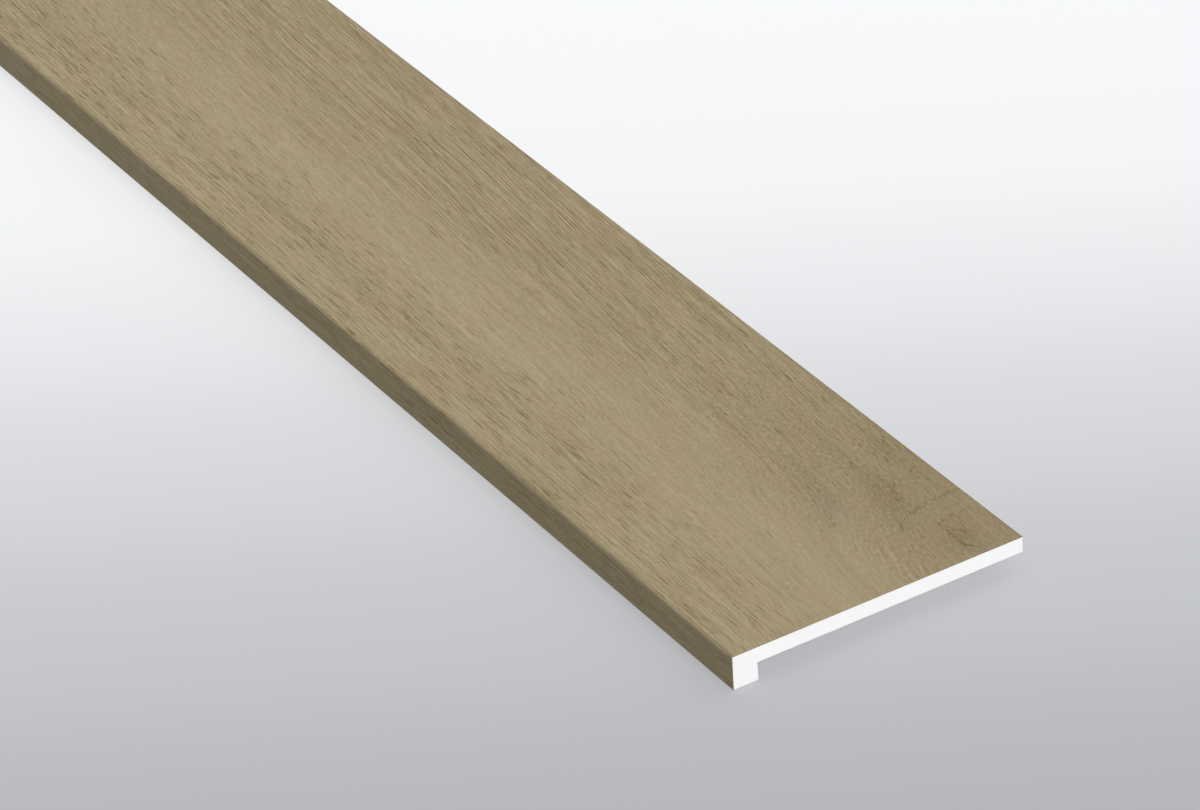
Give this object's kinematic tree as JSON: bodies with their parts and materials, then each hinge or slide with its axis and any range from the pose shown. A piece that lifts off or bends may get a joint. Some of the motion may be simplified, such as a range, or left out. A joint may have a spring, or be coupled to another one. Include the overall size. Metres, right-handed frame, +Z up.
{
  "type": "stair tread",
  "caption": "L-section cap-over stair tread: oak-look facing on a white core board, with a square dropped nose that hooks over the front edge of a step.",
  "frame": {"origin": "under the middle of the tread, level with the bottom of the nose", "axes": "+X along the step, -Y the way the nose faces, +Z up out of the walking face"},
  "size_m": [1.4, 0.3, 0.034],
  "materials": {
    "white_core": "matt white, fine sawn",
    "oak_decor": "matt grey-beige oak grain"
  },
  "bodies": {
    "root": {"core": "white_core", "oak_decor": "oak_decor"}
  },
  "joints": []
}
